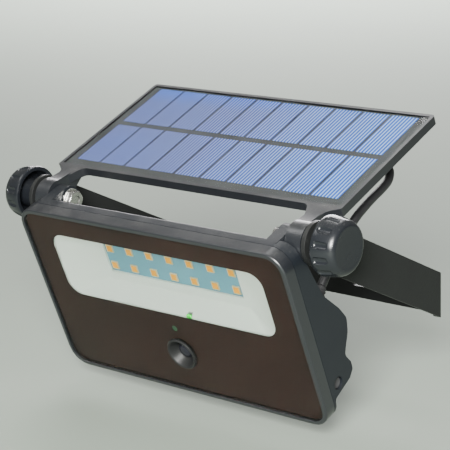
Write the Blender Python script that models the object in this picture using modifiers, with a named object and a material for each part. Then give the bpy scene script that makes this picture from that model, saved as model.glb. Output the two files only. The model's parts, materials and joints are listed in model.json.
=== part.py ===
"""Solar flood light: a lamp head and a solar panel that tilt on one U bracket.

The bracket's base stands on the wall plane Y = 0 and the lamp faces -Y. Both tilting
bodies hang on the same axis, clamped by one bolt and one knob at each side.
Units are metres, +Z is up. The origin is the middle of the bracket's wall face.
"""
import math

import bmesh
import bpy
from mathutils import Matrix, Vector

OBJECT_NAME = "solar_flood_light"
GAP = 0.0003
LEFT, RIGHT = -1, 1
SIDE_NAMES = {LEFT: "left", RIGHT: "right"}

# Axis shared by both tilting bodies
PIVOT = Vector((0.0, -0.117, 0.0575))
PIVOT_HOLE = 0.00325
HEAD_TILT = math.radians(20.9)
PANEL_TILT = math.radians(21.8)

# Wall bracket: bent steel strip
STEEL = 0.0025
ARM_OUTER = 0.1022
ARM_ANGLE = math.radians(26.1)
ARM_HALF_WIDTH = 0.012
BASE_HALF_HEIGHT = 0.010
BASE_HALF_LENGTH = 0.0965
SLOT_X = 0.045
SLOT_LENGTH, SLOT_WIDTH = 0.014, 0.006
HOLE_X = 0.075

# Clamp stack along X, measured outwards from the middle
BOLT_HEAD = (0.0746, 0.0783)
BOLT_WASHER = (0.07855, 0.07945)
EAR = (0.07975, 0.08775)
BARREL = (0.0881, 0.0983)
FRICTION_WASHER = (0.0986, 0.0994)
BOLT_END = 0.114
BOLT_RADIUS = 0.00295
BOLT_FLATS = 0.010
KNOB_BACK, KNOB_RIM, KNOB_FACE = 0.1025, 0.1080, 0.1217
KNOB_RADIUS = 0.0162
KNOB_WALL = 0.0026
HUB_RADIUS = 0.0085
KNOB_GROOVES = 12
GROOVE_RADIUS, GROOVE_LENGTH = 0.0018, 0.0080
NUT = (0.1055, 0.1102)

# Lamp head, in its own frame: Y runs back from the axis, Z up along the head
HEAD_HALF_WIDTH = 0.098
HEAD_HEIGHT = 0.1128
HEAD_TOP = 0.0078
HEAD_FRONT = -0.0258
FRAME_DEPTH = 0.0077
FRAME_CORNER = 0.012
RIM = 0.0026
SEAL_INSET, SEAL_WIDTH = 0.0013, 0.0011
HEAD_MIDDLE = HEAD_TOP - HEAD_HEIGHT / 2
WINDOW = (0.078, 0.02085, -0.02885, 0.009)
REFLECTOR_FLOOR = (0.057, 0.0145, -0.0277)
LED_WINDOW = (0.050, 0.0100, -0.02655)
LED_COLUMNS, LED_ROWS = 7, (-0.0208, -0.0323)
LED_PITCH, LED_SIZE = 0.0152, 0.0050
PIR_Z = -0.0769
INDICATOR_Z = -0.0596
CHARGE_LED = (0.0135, -0.04895)
CELL_RADIUS, CELL_LENGTH = 0.0092, 0.065
CELL_AXIS = (-0.0026, -0.0552)
BUTTON = (-0.0103, -0.0848)
SCREW_X = 0.060
SCREW_Z = (-0.0008, -0.0964)

# Solar panel, in its own frame: Y runs back from the axis, Z is normal to the panel
PANEL_HALF_WIDTH = 0.105
PANEL_FRONT, PANEL_BACK = 0.0205, 0.1156
PANEL_TOP, PANEL_UNDER = 0.00845, 0.00335
BARREL_RADIUS = 0.0108
ARM_INNER, ARM_SIDE = 0.0835, 0.0970
COVER_BOX = ((0.012, 0.052), (0.075, 0.101), (-0.0049, 0.00305))

# Lead between the two bodies, as points from the axis at rest
LEAD_RADIUS = 0.0025
LEAD_LOWER = (
    (0.0860, 0.0229, -0.0309), (0.0862, 0.0275, -0.0252), (0.0868, 0.0330, -0.0182),
    (0.0874, 0.0386, -0.0112), (0.0880, 0.0446, -0.0048),
)
LEAD_UPPER = (
    (0.0880, 0.0448, -0.0044), (0.0883, 0.0515, 0.0010), (0.0886, 0.0593, 0.0055),
    (0.0888, 0.0673, 0.0093), (0.0889, 0.0752, 0.0125), (0.0884, 0.0820, 0.0157),
    (0.0862, 0.0868, 0.0196), (0.0822, 0.0886, 0.0237), (0.0766, 0.0875, 0.0274),
    (0.0702, 0.0846, 0.0301), (0.0655, 0.0828, 0.0313), (0.0607, 0.0821, 0.0317),
)

ARC_STEPS = 5
ROUND_SIDES = 24
TURN_ALONG_X = (0.0, math.pi / 2, 0.0)
TURN_ALONG_Y = (math.pi / 2, 0.0, 0.0)
TURN_SIDE_VIEW = (math.pi / 2, 0.0, math.pi / 2)


# ---------------------------------------------------------------- scene and materials

def start_collection(name, hidden):
    """Make a collection; cutters live in a hidden one."""
    collection = bpy.data.collections.new(name)
    bpy.context.scene.collection.children.link(collection)
    collection.hide_render = hidden
    return collection


def finish(name, colour, roughness, metallic=0.0, transmission=0.0):
    """A Principled material for one part."""
    material = bpy.data.materials.new(name)
    material.use_nodes = True
    shader = material.node_tree.nodes["Principled BSDF"]
    shader.inputs["Base Color"].default_value = (*colour, 1.0)
    shader.inputs["Roughness"].default_value = roughness
    shader.inputs["Metallic"].default_value = metallic
    shader.inputs["Transmission Weight"].default_value = transmission
    material.diffuse_color = (*colour, 1.0)
    return material


BLACK_PLASTIC = ((0.022, 0.023, 0.025), 0.42)
BLACK_STEEL = ((0.028, 0.029, 0.030), 0.50, 0.2)
ZINC = ((0.62, 0.61, 0.58), 0.28, 1.0)
WHITE_PLASTIC = ((0.72, 0.80, 0.74), 0.55)
CLEAR_GLASS = ((0.90, 0.92, 0.92), 0.05, 0.0, 0.9)
BLACK_FILM = ((0.030, 0.022, 0.020), 0.12)
RUBBER = ((0.015, 0.015, 0.016), 0.75)
BOARD_BLUE = ((0.22, 0.36, 0.41), 0.45)
BOARD_GREEN = ((0.05, 0.22, 0.10), 0.45)
PHOSPHOR = ((0.95, 0.50, 0.08), 0.45)
CELL_SLEEVE = ((0.10, 0.25, 0.55), 0.35)
SILICON = ((0.20, 0.32, 0.62), 0.25)


def add_part(item, name, look, hinge=None):
    """Name a finished shape, give it its material and hang it on its hinge."""
    item.name = name
    item.data.name = name
    item.data.materials.clear()
    item.data.materials.append(finish(name, *look))
    item.parent = hinge
    bpy.context.scene.collection.objects.unlink(item)
    PARTS.objects.link(item)
    item.data.shade_smooth()
    item.data.set_sharp_from_angle(angle=math.radians(35))
    return item


def use_tool(item, tool, operation):
    """Cut or join a tool shape; the tool itself stays out of the build."""
    tool.parent = item.parent if tool.parent is None else tool.parent
    if tool.name in bpy.context.scene.collection.objects:
        bpy.context.scene.collection.objects.unlink(tool)
        CUTTERS.objects.link(tool)
    tool.hide_render = True
    tool.display_type = "WIRE"
    boolean = item.modifiers.new(operation.lower(), "BOOLEAN")
    boolean.operation = operation
    boolean.solver = "EXACT"
    boolean.object = tool
    return item


def cut(item, *tools):
    for tool in tools:
        use_tool(item, tool, "DIFFERENCE")
    return item


def join(item, *tools):
    for tool in tools:
        use_tool(item, tool, "UNION")
    return item


# ---------------------------------------------------------------- shapes

def hold(mesh_builder, turn=(0.0, 0.0, 0.0), place=(0.0, 0.0, 0.0)):
    """Run a bmesh builder and put its mesh in a new object."""
    mesh = bpy.data.meshes.new("shape")
    form = bmesh.new()
    mesh_builder(form)
    form.to_mesh(mesh)
    form.free()
    item = bpy.data.objects.new("shape", mesh)
    bpy.context.scene.collection.objects.link(item)
    item.rotation_euler = turn
    item.location = place
    return item


def cylinder(radius, span, place, turn=TURN_ALONG_X, sides=ROUND_SIDES, end_radius=None):
    """A cylinder or cone whose axis covers span, measured from place along the axis."""
    start, end = span

    def build(form):
        bmesh.ops.create_cone(
            form, cap_ends=True, segments=sides, radius1=radius,
            radius2=radius if end_radius is None else end_radius, depth=end - start)
        bmesh.ops.translate(form, verts=form.verts, vec=(0, 0, (start + end) / 2))
    return hold(build, turn, place)


def block(x_span, y_span, z_span):
    """A box between three pairs of limits."""
    spans = (x_span, y_span, z_span)

    def build(form):
        bmesh.ops.create_cube(form, size=1.0)
        bmesh.ops.scale(form, verts=form.verts, vec=[high - low for low, high in spans])
    return hold(build, place=[(low + high) / 2 for low, high in spans])


def fillet(corners, steps=ARC_STEPS):
    """Round each (u, v, radius) corner of an outline with an arc."""
    points = []
    for index, (u, v, radius) in enumerate(corners):
        here = Vector((u, v))
        before = (Vector(corners[index - 1][:2]) - here).normalized()
        after = (Vector(corners[(index + 1) % len(corners)][:2]) - here).normalized()
        if radius == 0:
            points.append(here)
            continue
        half = before.angle(after) / 2
        centre = here + (before + after).normalized() * radius / math.sin(half)
        first = here + before * radius / math.tan(half) - centre
        last = here + after * radius / math.tan(half) - centre
        sweep = first.angle_signed(last)
        for step in range(steps + 1):
            spoke = first.copy()
            angle = -sweep * step / steps
            spoke.x = first.x * math.cos(angle) - first.y * math.sin(angle)
            spoke.y = first.x * math.sin(angle) + first.y * math.cos(angle)
            points.append(centre + spoke)
    return points


def rounded_box(half_width, half_height, middle, radius, steps=ARC_STEPS):
    """An outline with four equal round corners."""
    low, high = middle - half_height, middle + half_height
    return fillet([(-half_width, low, radius), (half_width, low, radius),
                   (half_width, high, radius), (-half_width, high, radius)], steps)


def circle(radius, middle=(0.0, 0.0), sides=ROUND_SIDES):
    """Points of a circle."""
    turns = [2 * math.pi * step / sides for step in range(sides)]
    return [Vector((middle[0] + radius * math.cos(t), middle[1] + radius * math.sin(t)))
            for t in turns]


def plate(loops, span, turn=(0.0, 0.0, 0.0), place=(0.0, 0.0, 0.0)):
    """A flat outline, with any holes as further loops, made solid over a span of its normal."""
    curve = bpy.data.curves.new("outline", "CURVE")
    curve.dimensions = "2D"
    curve.fill_mode = "BOTH"
    curve.extrude = (span[1] - span[0]) / 2
    for loop in loops:
        spline = curve.splines.new("POLY")
        spline.points.add(len(loop) - 1)
        spline.use_cyclic_u = True
        for point, corner in zip(spline.points, loop):
            point.co = (corner.x, corner.y, 0.0, 1.0)
    item = curve_to_mesh(curve)
    item.data.transform(Matrix.Translation((0, 0, (span[0] + span[1]) / 2)))
    item.rotation_euler = turn
    item.location = place
    return item


def curve_to_mesh(curve):
    """Turn a curve into a closed mesh object with its caps welded on."""
    drawn = bpy.data.objects.new("drawn", curve)
    bpy.context.scene.collection.objects.link(drawn)
    bpy.context.view_layer.update()
    mesh = bpy.data.meshes.new_from_object(drawn.evaluated_get(bpy.context.evaluated_depsgraph_get()))
    bpy.data.objects.remove(drawn, do_unlink=True)
    form = bmesh.new()
    form.from_mesh(mesh)
    bmesh.ops.remove_doubles(form, verts=form.verts, dist=0.00001)
    bmesh.ops.recalc_face_normals(form, faces=form.faces)
    form.to_mesh(mesh)
    form.free()
    item = bpy.data.objects.new("shape", mesh)
    bpy.context.scene.collection.objects.link(item)
    return item


def tube(route, radius):
    """A round lead along a smooth route."""
    curve = bpy.data.curves.new("lead", "CURVE")
    curve.dimensions = "3D"
    curve.bevel_depth = radius
    curve.bevel_resolution = 3
    curve.use_fill_caps = True
    spline = curve.splines.new("POLY")
    spline.points.add(len(route) - 1)
    for point, place in zip(spline.points, route):
        point.co = (*place, 1.0)
    return curve_to_mesh(curve)


def turned(profile, closed, turn, place=(0.0, 0.0, 0.0), sides=ROUND_SIDES):
    """A profile of (radius, height) points spun about local Z; it runs down its outer side."""
    mesh = bpy.data.meshes.new("profile")
    edges = [(index, index + 1) for index in range(len(profile) - 1)]
    if closed:
        edges.append((len(profile) - 1, 0))
    mesh.from_pydata([(radius, 0.0, height) for radius, height in profile], edges, [])
    item = bpy.data.objects.new("shape", mesh)
    bpy.context.scene.collection.objects.link(item)
    screw = item.modifiers.new("spin", "SCREW")
    screw.steps = sides
    screw.render_steps = sides
    screw.use_merge_vertices = True
    screw.merge_threshold = 0.00001
    item.rotation_euler = turn
    item.location = place
    return item


def smooth_route(points, start_hint, end_hint, step=3):
    """Catmull-Rom points through a hand-chosen route."""
    knots = [Vector(point) for point in points]
    padded = [knots[0] - Vector(start_hint)] + knots + [knots[-1] + Vector(end_hint)]
    route = []
    for index in range(1, len(padded) - 2):
        a, b, c, d = padded[index - 1:index + 3]
        for part in range(step):
            t = part / step
            route.append(0.5 * (2 * b + (c - a) * t + (2 * a - 5 * b + 4 * c - d) * t * t
                                + (3 * b - a - 3 * c + d) * t ** 3))
    route.append(knots[-1])
    return route


def hinge_at_pivot(name, tilt):
    """An empty on the tilting axis that carries one body."""
    empty = bpy.data.objects.new(name, None)
    PARTS.objects.link(empty)
    empty.location = PIVOT
    empty.rotation_euler = (tilt, 0.0, 0.0)
    return empty


def across(span, side):
    """A span along X for the left or right side, low end first."""
    return tuple(sorted((side * span[0], side * span[1])))


# ---------------------------------------------------------------- wall bracket and clamps

def arm_outline():
    """Side view of the bracket's arms: a strip that slopes from the axis down to the wall."""
    along = Vector((math.cos(ARM_ANGLE), -math.sin(ARM_ANGLE)))
    up = Vector((math.sin(ARM_ANGLE), math.cos(ARM_ANGLE)))
    tip = Vector((PIVOT.y, PIVOT.z)) - along * ARM_HALF_WIDTH
    rise = ARM_HALF_WIDTH / math.cos(ARM_ANGLE)
    past_wall = 0.001
    foot = PIVOT.z + (PIVOT.y - past_wall) * math.tan(ARM_ANGLE)
    end_radius = ARM_HALF_WIDTH * 0.999
    corners = [
        (*(tip - up * ARM_HALF_WIDTH), end_radius), (past_wall, foot - rise, 0),
        (past_wall, foot + rise, 0), (*(tip + up * ARM_HALF_WIDTH), end_radius)]
    return fillet(corners, 8)


def make_bracket():
    """The strip seen from above, trimmed to its side view, with its holes."""
    front = PIVOT.y - 2 * ARM_HALF_WIDTH
    inner = ARM_OUTER - STEEL
    above = fillet([
        (-ARM_OUTER, front, 0), (-inner, front, 0), (-inner, -STEEL, 0.0015),
        (inner, -STEEL, 0.0015), (inner, front, 0), (ARM_OUTER, front, 0),
        (ARM_OUTER, 0.0, 0.004), (-ARM_OUTER, 0.0, 0.004)], 4)
    bracket = add_part(plate([above], (-0.03, 0.09)), "wall_bracket", BLACK_STEEL)
    trim = plate([arm_outline()], (-0.11, 0.11), TURN_SIDE_VIEW)
    use_tool(bracket, trim, "INTERSECT")
    for low, high in ((-0.03, -BASE_HALF_HEIGHT), (BASE_HALF_HEIGHT, 0.03)):
        cut(bracket, block((-BASE_HALF_LENGTH, BASE_HALF_LENGTH), (-0.008, 0.002), (low, high)))
    cut(bracket, cylinder(PIVOT_HOLE, (-0.12, 0.12), PIVOT))
    for side in (LEFT, RIGHT):
        outline = rounded_box(SLOT_LENGTH / 2, SLOT_WIDTH / 2, 0.0, SLOT_WIDTH / 2 * 0.999)
        slot = plate([outline], (-0.01, 0.01), TURN_ALONG_Y, (side * SLOT_X, 0.0, 0.0))
        cut(bracket, slot)
        cut(bracket, cylinder(0.0025, (-0.01, 0.01), (side * HOLE_X, 0, 0), TURN_ALONG_Y))


def washer(name, inner, outer, span, side):
    ring = plate([circle(outer), circle(inner)], across(span, side), TURN_ALONG_X, PIVOT)
    return add_part(ring, name, ZINC)


def make_clamp(side):
    """Bolt and washers of one side; they stay with the bracket."""
    label = SIDE_NAMES[side]
    corner = BOLT_FLATS / 2 / math.cos(math.pi / 6)
    bolt = cylinder(corner, across(BOLT_HEAD, side), PIVOT, sides=6)
    add_part(bolt, "pivot_bolt_" + label, ZINC)
    join(bolt, cylinder(BOLT_RADIUS, across((BOLT_HEAD[1] - 0.001, BOLT_END), side), PIVOT))
    washer("bolt_washer_" + label, PIVOT_HOLE, 0.0065, BOLT_WASHER, side)
    washer("friction_washer_" + label, PIVOT_HOLE, 0.0085, FRICTION_WASHER, side)


def make_knob(side):
    """Hollow clamping knob with grip grooves and the nut pressed into its hub."""
    label = SIDE_NAMES[side]
    hinge = hinge_at_pivot("knob_axis_" + label, 0.0)
    hinge.rotation_euler = (0.0, 0.0, 0.0 if side == RIGHT else math.pi)
    rim, inside, web = KNOB_RADIUS, KNOB_RADIUS - KNOB_WALL, KNOB_FACE - 0.0035
    profile = [
        (0.0, KNOB_FACE), (0.0120, KNOB_FACE), (0.0131, KNOB_FACE - 0.0005), (0.0142, KNOB_FACE - 0.0017),
        (0.0150, KNOB_FACE - 0.0040), (0.0157, KNOB_FACE - 0.0075), (rim, KNOB_FACE - 0.0120),
        (rim - 0.0004, KNOB_RIM), (inside, KNOB_RIM), (inside - 0.0008, web), (HUB_RADIUS, web),
        (HUB_RADIUS, KNOB_BACK), (PIVOT_HOLE, KNOB_BACK), (PIVOT_HOLE, BOLT_END + 0.001),
        (0.0, BOLT_END + 0.001)]
    knob = add_part(turned(profile, False, TURN_ALONG_X, sides=36), "knob_" + label,
                    BLACK_PLASTIC, hinge)
    pocket = cylinder(BOLT_FLATS / 2 / math.cos(math.pi / 6) + GAP, (NUT[0] - GAP, NUT[1] + GAP),
                      (0, 0, 0), sides=6)
    cut(knob, pocket)
    cut(knob, knob_grooves())
    nut = cylinder(BOLT_FLATS / 2 / math.cos(math.pi / 6), NUT, (0, 0, 0), sides=6)
    add_part(nut, "knob_nut_" + label, ZINC, hinge)
    cut(nut, cylinder(PIVOT_HOLE, (NUT[0] - 0.001, NUT[1] + 0.001), (0, 0, 0)))


def knob_grooves():
    """All grip grooves as one cutter: bars lying along the knob's tapered side."""
    taper = math.radians(-6.0)
    place = (KNOB_RADIUS + 0.0001, 0.0, KNOB_FACE - 0.0076)

    def build(form):
        for index in range(KNOB_GROOVES):
            bar = bmesh.ops.create_cone(form, cap_ends=True, segments=10, radius1=GROOVE_RADIUS,
                                        radius2=GROOVE_RADIUS, depth=GROOVE_LENGTH)["verts"]
            angle = 2 * math.pi * (index + 0.5) / KNOB_GROOVES
            turn = Matrix.Rotation(angle, 4, "Z") @ Matrix.Translation(place)
            bmesh.ops.transform(form, verts=bar, matrix=turn @ Matrix.Rotation(taper, 4, "Y"))
    return hold(build, TURN_ALONG_X)


# ---------------------------------------------------------------- lamp head

def behind_front(depth):
    """Local Y of a plane at a depth behind the lamp's front face."""
    return HEAD_FRONT + depth


def face_plate(loops, depths):
    """A plate that lies parallel to the lamp's front, between two depths behind it."""
    front, back = depths
    return plate(loops, (-behind_front(back), -behind_front(front)), TURN_ALONG_Y)


def face_cylinder(radius, depths, x, z, sides=ROUND_SIDES):
    """A cylinder along the lamp's depth."""
    front, back = depths
    span = (-behind_front(back), -behind_front(front))
    return cylinder(radius, span, (x, 0.0, z), TURN_ALONG_Y, sides)


def head_outline(inset):
    """The head's front outline, moved inwards."""
    return rounded_box(HEAD_HALF_WIDTH - inset, HEAD_HEIGHT / 2 - inset, HEAD_MIDDLE,
                       FRAME_CORNER - inset)


def head_ring(inset, width, depths):
    """A closed ring that follows the head's outline."""
    return face_plate([head_outline(inset), head_outline(inset + width)], depths)


def make_front_frame(hinge):
    """Front bezel with the glass pocket in front and the seal groove behind."""
    frame = head_ring(0.0, 0.0065, (0.0, FRAME_DEPTH))
    add_part(frame, "front_frame", BLACK_PLASTIC, hinge)
    for x in (-SCREW_X, SCREW_X):
        for z in SCREW_Z:
            towards_edge = 0.001 if z > HEAD_MIDDLE else -0.001
            span = sorted((z + 4 * towards_edge, z - 3 * towards_edge))
            post = block((x - 0.0035, x + 0.0035), (behind_front(0.0042), behind_front(FRAME_DEPTH)),
                         span)
            join(frame, post)
            cut(frame, face_cylinder(0.0016, (0.0048, 0.012), x, z, 12))
    cut(frame, face_plate([head_outline(RIM)], (-0.002, 0.0036)))
    cut(frame, head_ring(SEAL_INSET - GAP, SEAL_WIDTH + 2 * GAP, (0.0067, 0.012)))
    add_part(head_ring(SEAL_INSET, SEAL_WIDTH, (0.0070, 0.0077)), "housing_seal", RUBBER, hinge)


def make_front_glass(hinge):
    """Clear plate, printed film behind it and the seal round both."""
    bezel_hole = circle(0.0104, (0.0, PIR_Z))
    glass = face_plate([head_outline(RIM + GAP), bezel_hole], (0.0004, 0.0022))
    add_part(glass, "front_glass", CLEAR_GLASS, hinge)
    half_width, half_height, middle, radius = WINDOW
    loops = [head_outline(RIM + 0.0026),
             rounded_box(half_width, half_height, middle, radius),
             bezel_hole, circle(0.0021, (0.0, INDICATOR_Z), 16)]
    add_part(face_plate(loops, (0.0025, 0.0028)), "window_film", BLACK_FILM, hinge)
    add_part(head_ring(RIM + GAP, 0.0020, (0.0025, 0.0033)), "glass_seal", RUBBER, hinge)


def make_reflector(hinge):
    """White tray that flares from the LED board out to the window."""
    half_width, half_height, middle, radius = WINDOW
    floor_width, floor_height, floor_middle = REFLECTOR_FLOOR
    front, floor = 0.0034, 0.0134
    tub = face_plate([rounded_box(half_width, half_height, middle, radius)], (front, floor))
    form = bmesh.new()
    form.from_mesh(tub.data)
    back = min(vert.co.z for vert in form.verts)
    for vert in form.verts:
        if vert.co.z < back + 0.0001:
            vert.co.x *= floor_width / half_width
            vert.co.y = (vert.co.y - middle) * floor_height / half_height + floor_middle
    lids = [face for face in form.faces
            if all(vert.co.z > back + 0.005 for vert in face.verts)]
    bmesh.ops.delete(form, geom=lids, context="FACES")
    form.to_mesh(tub.data)
    form.free()
    add_part(tub, "reflector", WHITE_PLASTIC, hinge)
    wall = tub.modifiers.new("wall", "SOLIDIFY")
    wall.thickness = 0.0012
    wall.offset = 1.0
    wall.use_even_offset = True
    flange = [rounded_box(half_width + 0.006, half_height + 0.0035, middle, radius),
              rounded_box(half_width + 0.0004, half_height + 0.0004, middle, radius)]
    join(tub, face_plate(flange, (0.0031, 0.0043)))
    board_width, board_height, board_middle = LED_WINDOW
    cut(tub, block((-board_width, board_width), (behind_front(0.010), behind_front(0.018)),
                   (board_middle - board_height, board_middle + board_height)))
    x, z = CHARGE_LED
    cut(tub, block((x - 0.0018, x + 0.0018), (behind_front(0.0028), behind_front(0.0062)),
                   (z - 0.0030, z + 0.0012)))


def make_lights(hinge):
    """LED board with its rows of LEDs, and the green charging LED at the window's edge."""
    board_width, board_height, middle = LED_WINDOW
    board = block((-board_width - 0.003, board_width + 0.003),
                  (behind_front(0.0149), behind_front(0.0165)),
                  (middle - board_height - 0.0022, middle + board_height + 0.0022))
    add_part(board, "led_board", BOARD_BLUE, hinge)
    number = 0
    for z in LED_ROWS:
        for column in range(LED_COLUMNS):
            number += 1
            x = (column - (LED_COLUMNS - 1) / 2) * LED_PITCH
            half = LED_SIZE / 2
            led = block((x - half, x + half), (behind_front(0.0137), behind_front(0.0146)),
                        (z - half, z + half))
            add_part(led, f"led_{number:02d}", PHOSPHOR, hinge)
    x, z = CHARGE_LED
    charge = block((x - 0.0015, x + 0.0015), (behind_front(0.0031), behind_front(0.0045)),
                   (z - 0.0012, z + 0.0005))
    add_part(charge, "charge_led", BOARD_GREEN, hinge)


def make_sensor(hinge):
    """Motion sensor: bezel in the glass, lens dome, sensor can and the indicator beside it."""
    def depths(points):
        return [(radius, -behind_front(depth)) for radius, depth in points]
    bezel = depths([(0.0093, -0.0005), (0.0101, -0.0005), (0.0101, 0.0031), (0.0120, 0.0031),
                    (0.0120, 0.0041), (0.0080, 0.0041), (0.0066, 0.0060), (0.0058, 0.0060)])
    add_part(turned(bezel, True, TURN_ALONG_Y, (0, 0, PIR_Z), 32), "sensor_bezel", BLACK_PLASTIC,
             hinge)
    dome, wall, base = 0.0053, 0.0008, 0.0062
    arc = [math.radians(angle) for angle in (90, 70, 50, 30, 10)]
    outer = [(dome * math.cos(a), base - dome * 0.75 * math.sin(a)) for a in arc]
    inner = [((dome - wall) * math.cos(a), base - (dome * 0.75 - wall) * math.sin(a)) for a in arc]
    outer[0] = (0.0, outer[0][1])
    inner[0] = (0.0, inner[0][1])
    lens = depths(outer + [(dome, base + 0.0006), (dome - wall, base + 0.0006)] + inner[::-1])
    add_part(turned(lens, False, TURN_ALONG_Y, (0, 0, PIR_Z)), "sensor_lens", BLACK_FILM, hinge)
    add_part(face_cylinder(0.0040, (0.0066, 0.0098), 0.0, PIR_Z), "motion_sensor", ZINC, hinge)
    add_part(face_cylinder(0.0018, (0.0029, 0.0086), 0.0, INDICATOR_Z, 16), "indicator_pipe",
             WHITE_PLASTIC, hinge)
    add_part(face_cylinder(0.0015, (0.0089, 0.0099), 0.0, INDICATOR_Z, 12), "status_led",
             BOARD_GREEN, hinge)
    board = block((-0.054, 0.054), (behind_front(0.0102), behind_front(0.0118)),
                  (-0.088, -0.0575))
    add_part(board, "control_board", BOARD_GREEN, hinge)


def make_batteries(hinge):
    """Two cells side by side in a moulded cradle."""
    y, z = CELL_AXIS
    for side in (LEFT, RIGHT):
        cell = cylinder(CELL_RADIUS, across((0.003, 0.003 + CELL_LENGTH), side), (0, y, z))
        add_part(cell, "battery_cell_" + SIDE_NAMES[side], CELL_SLEEVE, hinge)
    inner = CELL_RADIUS + GAP
    angles = [math.radians(100 + 160 * step / 8) for step in range(9)]
    arc = [(math.cos(angle), math.sin(angle)) for angle in angles]
    section = [Vector((y + u * inner, z + v * inner)) for u, v in arc]
    section += [Vector((y + u * (inner + 0.0012), z + v * (inner + 0.0012))) for u, v in arc[::-1]]
    cradle = plate([section], (-0.069, 0.069), TURN_SIDE_VIEW)
    add_part(cradle, "battery_cradle", WHITE_PLASTIC, hinge)


def housing_profile():
    """Side view of the rear housing: depth behind the front and distance below the top."""
    corners = [
        (0.0080, 0.0, 0), (0.0140, 0.0, 0.002), (0.0226, 0.0394, 0.006), (0.0318, 0.0540, 0.006),
        (0.0357, 0.0630, 0.007), (0.0334, 0.0710, 0.006), (0.0263, 0.0816, 0.004),
        (0.0295, 0.0880, 0.003), (0.0295, 0.0930, 0.003), (0.0252, 0.0964, 0.003),
        (0.0097, 0.0996, 0.002), (0.0097, HEAD_HEIGHT, 0), (0.0080, HEAD_HEIGHT, 0)]
    return [(behind_front(depth), HEAD_TOP - down, radius) for depth, down, radius in corners]


def inset_profile(corners, wall, top_wall):
    """The hollow inside the rear housing, one wall in from its back."""
    path = [Vector(corner[:2]) for corner in corners[1:11]]
    lines = []
    for start, end in zip(path, path[1:]):
        along = (end - start).normalized()
        inward = Vector((along.y, -along.x))
        lines.append((start + inward * wall, along))
    points = []
    for (start, along), (other, other_along) in zip(lines, lines[1:]):
        cross = along.x * other_along.y - along.y * other_along.x
        reach = ((other - start).x * other_along.y - (other - start).y * other_along.x) / cross
        points.append(start + along * reach)
    front = behind_front(0.006)
    top = HEAD_TOP - top_wall
    start, along = lines[0]
    points[0:0] = [Vector((front, top)), start + along * ((top - start.y) / along.y)]
    start, along = lines[-1]
    points.append(start + along * ((front - start.x) / along.x))
    return points


def make_rear_housing(hinge):
    """Shell behind the frame, with the battery bulge and the two hinge ears."""
    corners = housing_profile()
    width = HEAD_HALF_WIDTH
    housing = plate([fillet(corners, 3)], (-width, width), TURN_SIDE_VIEW)
    add_part(housing, "rear_housing", BLACK_PLASTIC, hinge)
    outline = rounded_box(width, HEAD_HEIGHT / 2, HEAD_MIDDLE, FRAME_CORNER)
    use_tool(housing, face_plate([outline], (0.004, 0.045)), "INTERSECT")
    hollow = plate([inset_profile(corners, 0.002, 0.003)], (-width + 0.003, width - 0.003),
                   TURN_SIDE_VIEW)
    hollow.parent = hinge
    limit = rounded_box(width - 0.003, HEAD_HEIGHT / 2 - 0.003, HEAD_MIDDLE, 0.009)
    use_tool(hollow, face_plate([limit], (0.002, 0.045)), "INTERSECT")
    cut(housing, hollow)
    for side in (LEFT, RIGHT):
        cut(housing, cylinder(BARREL_RADIUS + 0.0004, across((EAR[1], 0.1), side), (0, 0, 0)))
        join(housing, ear(side))
    cut(housing, cylinder(PIVOT_HOLE, (-0.12, 0.12), (0, 0, 0)))
    for x in (-SCREW_X, SCREW_X):
        join(housing, face_cylinder(0.0032, (0.0083, 0.0165), x, SCREW_Z[0], 16))
        for z in SCREW_Z:
            cut(housing, face_cylinder(0.0017, (0.0, 0.020), x, z, 12))
    y, z = BUTTON
    cut(housing, cylinder(0.0037, (HEAD_HALF_WIDTH - 0.006, HEAD_HALF_WIDTH + 0.005), (0, y, z)))


def ear(side):
    """One hinge ear: round at the axis and flush with the head's top."""
    reach = HEAD_TOP
    outline = fillet([
        (-0.0150, reach, 0), (-0.0070, -0.0225, 0), (-0.0030, -0.0200, 0.002),
        (reach, -reach, 0.0065), (reach, reach, 0.0077)], 6)
    return plate([outline], across(EAR, side), TURN_SIDE_VIEW)


def make_screws(hinge):
    """Four pan-head screws from the back into the frame."""
    for index, (x, z) in enumerate([(x, z) for x in (-SCREW_X, SCREW_X) for z in SCREW_Z]):
        seat = 0.0168 if z == SCREW_Z[0] else 0.0100
        screw = face_cylinder(0.0027, (seat, seat + 0.0018), x, z, 16)
        add_part(screw, f"housing_screw_{index + 1}", ZINC, hinge)
        join(screw, face_cylinder(0.0013, (0.0054, seat + 0.0005), x, z, 12))


def make_switch(hinge):
    """Power button in the side wall, the switch behind it and the lead's gland."""
    y, z = BUTTON
    inside = HEAD_HALF_WIDTH - 0.003
    button = cylinder(0.0033, (inside - 0.0010, HEAD_HALF_WIDTH - 0.0010), (0, y, z))
    add_part(button, "power_button", RUBBER, hinge)
    join(button, block((inside - 0.0018, inside - GAP), (y - 0.0042, y + 0.0042),
                       (z - 0.0024, z + 0.0042)))
    switch = block((inside - 0.0095, inside - 0.0038), (y - 0.0030, y + 0.0030),
                   (z - 0.0024, z + 0.0036))
    add_part(switch, "power_switch", RUBBER, hinge)


def make_head_gland(hinge):
    """Strain relief on the sloped back, in line with the lead."""
    direction = Vector((0.0, 0.846, 0.533))
    tilt = math.atan2(direction.z, direction.y) - math.pi / 2
    gland = cylinder(0.0042, (0.0, 0.0080), (0.0860, 0.0032, -0.0412), (tilt, 0.0, 0.0), 20, 0.0031)
    add_part(gland, "head_gland", RUBBER, hinge)


# ---------------------------------------------------------------- solar panel

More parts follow.
